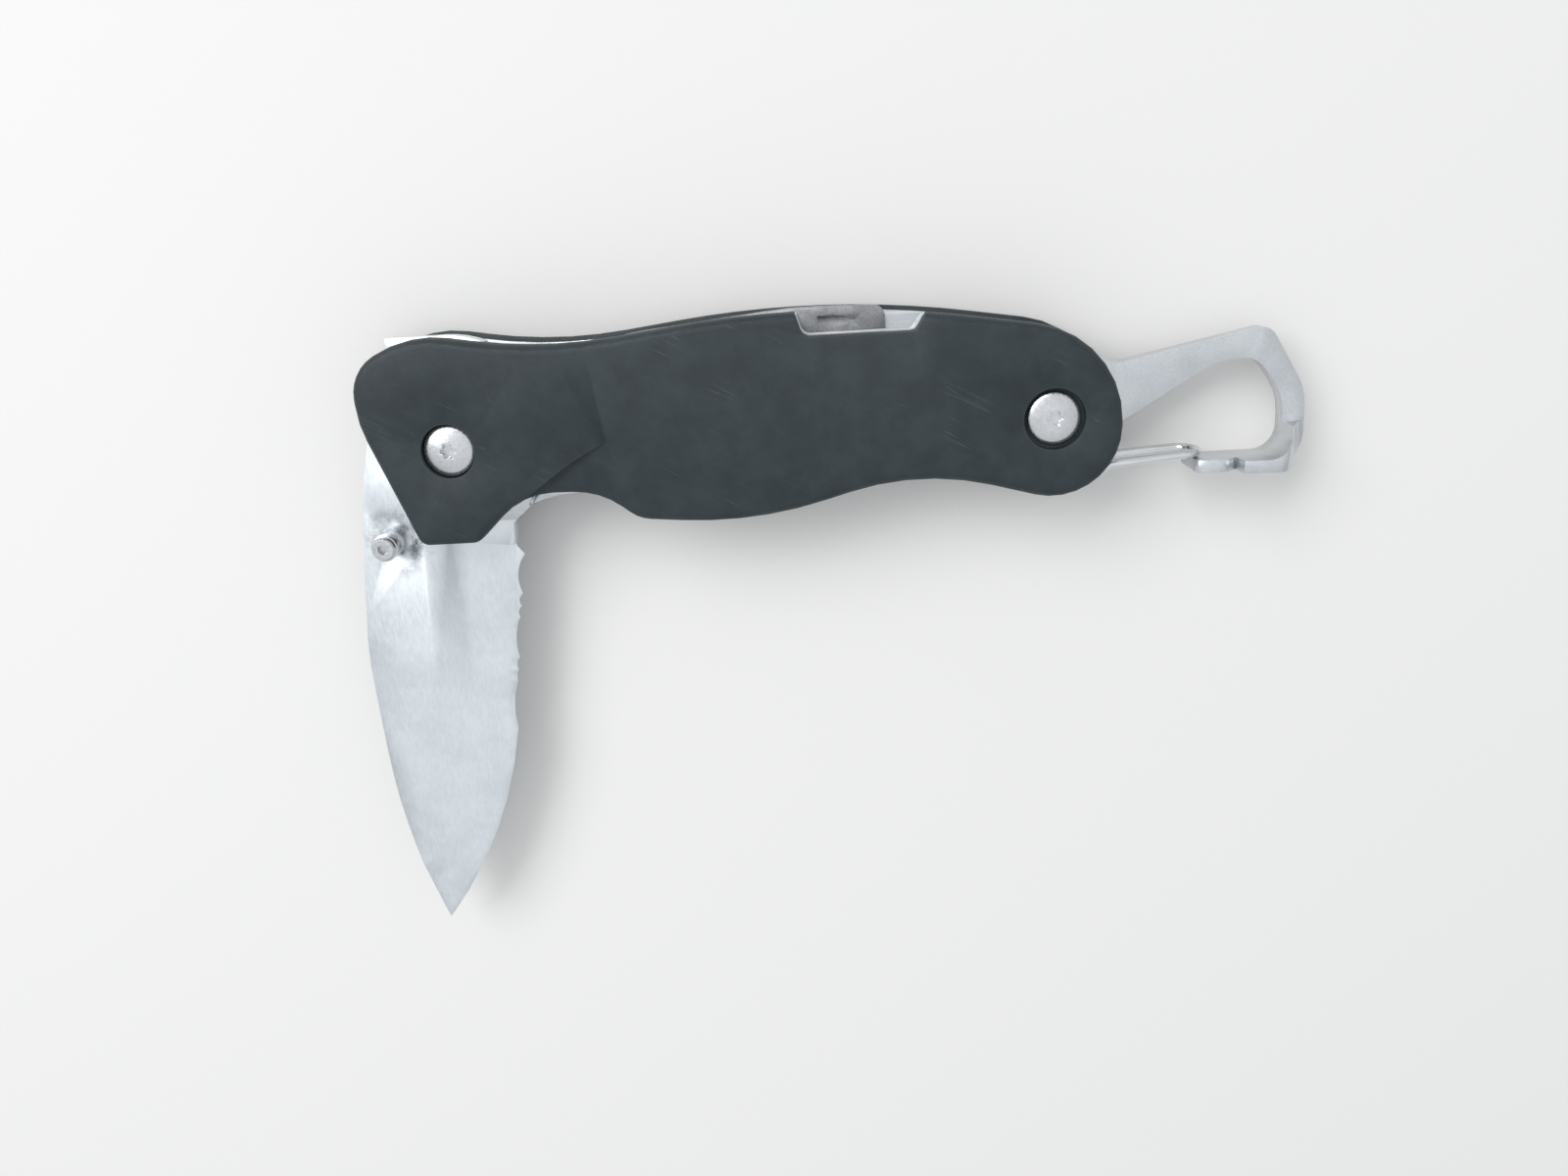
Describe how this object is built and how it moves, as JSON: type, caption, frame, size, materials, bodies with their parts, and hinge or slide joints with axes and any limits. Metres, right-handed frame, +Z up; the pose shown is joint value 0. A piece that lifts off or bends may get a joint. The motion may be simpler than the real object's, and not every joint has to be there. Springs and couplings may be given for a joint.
{
  "type": "folding knife with carabiner",
  "caption": "Folding knife, half open, with a part-serrated blade, thumb studs, a carabiner hook with sprung wire gate and bottle-opener lip, and a flat screwdriver folded in the spine.",
  "frame": {"origin": "halfway between the two pivots, on the face that the knife lies on", "axes": "+X runs from the blade pivot to the carabiner hook, +Y to the handle's spine, +Z up through the handle's thickness to the side with the thumb scoop"},
  "size_m": [0.1307, 0.0884, 0.0136],
  "materials": {
    "scale": "satin moulded glass-filled nylon",
    "liner": "fine brushed",
    "fastener": "turned",
    "blade": "bead-blasted, with ground bevels",
    "washer": "plain phosphor bronze",
    "driver": "tumbled",
    "hook": "bead-blasted, polished inside",
    "wire": "drawn and polished"
  },
  "bodies": {
    "handle": {"near_scale": "scale", "far_scale": "scale", "lock_liner": "liner", "divider_liner": "liner", "far_liner": "liner", "front_barrel": "fastener", "front_screw": "fastener", "rear_barrel": "fastener", "rear_screw": "fastener", "rear_collar": "fastener", "driver_stop_pin": "fastener", "carabiner_key_pin": "fastener", "blade_washer_near": "washer", "blade_washer_far": "washer", "driver_washer_near": "washer", "driver_washer_far": "washer", "carabiner": "hook"},
    "blade": {"blade": "blade", "thumb_stud_near": "fastener", "thumb_stud_far": "fastener"},
    "driver": {"driver": "driver"},
    "gate": {"wire_gate": "wire"},
    "lock_bar": {"lock_bar": "liner", "detent_ball": "fastener"}
  },
  "joints": [
    {"name": "blade_pivot", "type": "hinge", "parent": "handle", "child": "blade", "pos_m": [-0.03975, 0, 0.0081], "axis": [0, 0, 1], "range_deg": [-84, 96]},
    {"name": "driver_pivot", "type": "hinge", "parent": "handle", "child": "driver", "pos_m": [-0.03975, 0, 0.0049], "axis": [0, 0, 1], "range_deg": [0, 160]},
    {"name": "gate_hinge", "type": "hinge", "parent": "handle", "child": "gate", "pos_m": [0.04385, -0.007, 0.0049], "axis": [0, 0, 1], "range_deg": [0, 24], "stiffness_Nm_per_rad": 0.05, "springref_deg": -11.46},
    {"name": "lock_bar_flex", "type": "hinge", "parent": "handle", "child": "lock_bar", "pos_m": [0.00405, -0.0075, 0.00995], "axis": [0, 1, 0], "range_deg": [0, 0.7], "stiffness_Nm_per_rad": 0.5, "springref_deg": -1.72}
  ]
}
